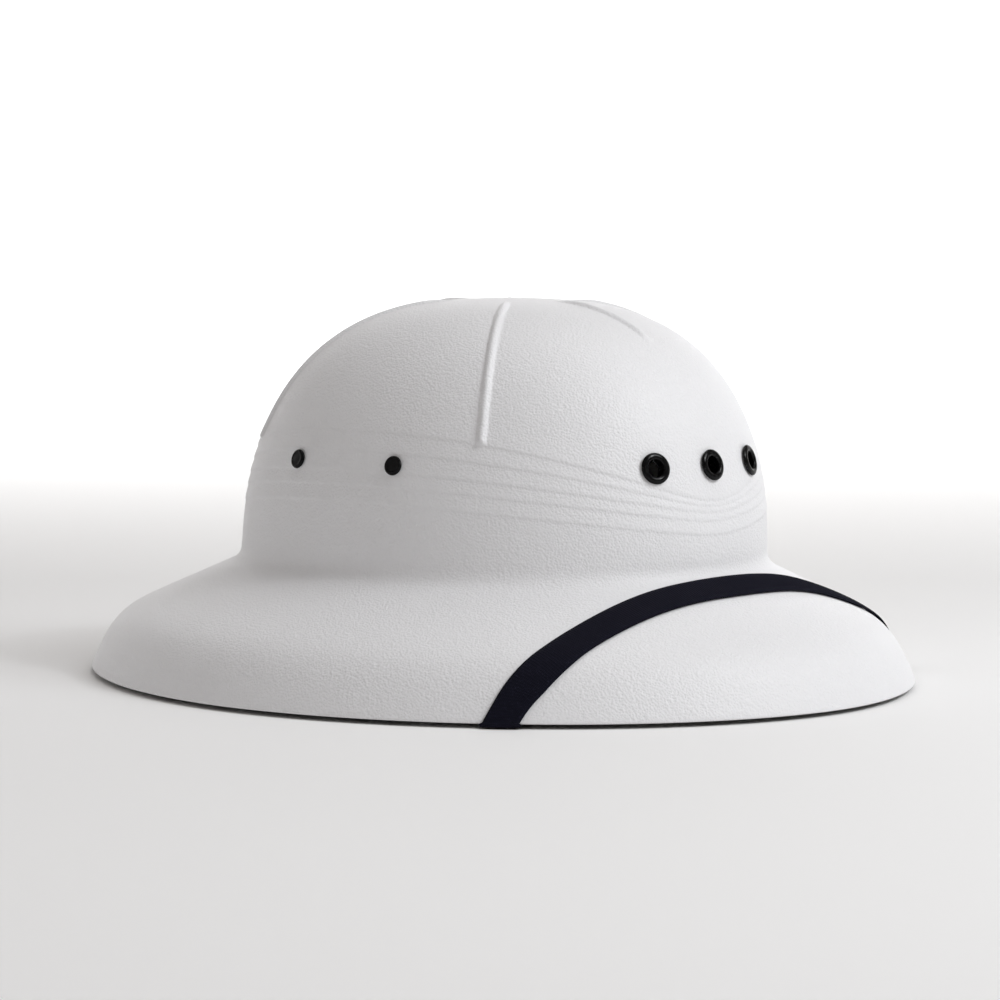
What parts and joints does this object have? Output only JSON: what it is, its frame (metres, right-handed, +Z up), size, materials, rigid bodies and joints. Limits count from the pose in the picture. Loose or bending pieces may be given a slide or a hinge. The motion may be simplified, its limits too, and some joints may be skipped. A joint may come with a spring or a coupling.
{
  "type": "pith helmet",
  "caption": "White moulded sun helmet with a ribbed, pleated crown, a wide sloping brim, black front eyelets, side rivets and a black webbing chin strap stowed over the brim",
  "frame": {"origin": "middle of the hat's outline seen from above, on the level that it rests on", "axes": "-Y is the front of the hat, +X is the wearer's left and +Z is up"},
  "size_m": [0.292, 0.335, 0.1427],
  "materials": {
    "shell_plastic": "white moulded plastic with a fine pebble grain",
    "black_enamel": "glossy black enamel",
    "webbing": "ribbed elastic webbing, near black"
  },
  "bodies": {
    "root": {"helmet_shell": "shell_plastic", "front_eyelet_right": "black_enamel", "front_eyelet_centre": "black_enamel", "front_eyelet_left": "black_enamel", "side_rivet_front_right": "black_enamel", "side_rivet_rear_right": "black_enamel", "side_rivet_front_left": "black_enamel", "side_rivet_rear_left": "black_enamel", "chin_strap": "webbing"}
  },
  "joints": []
}
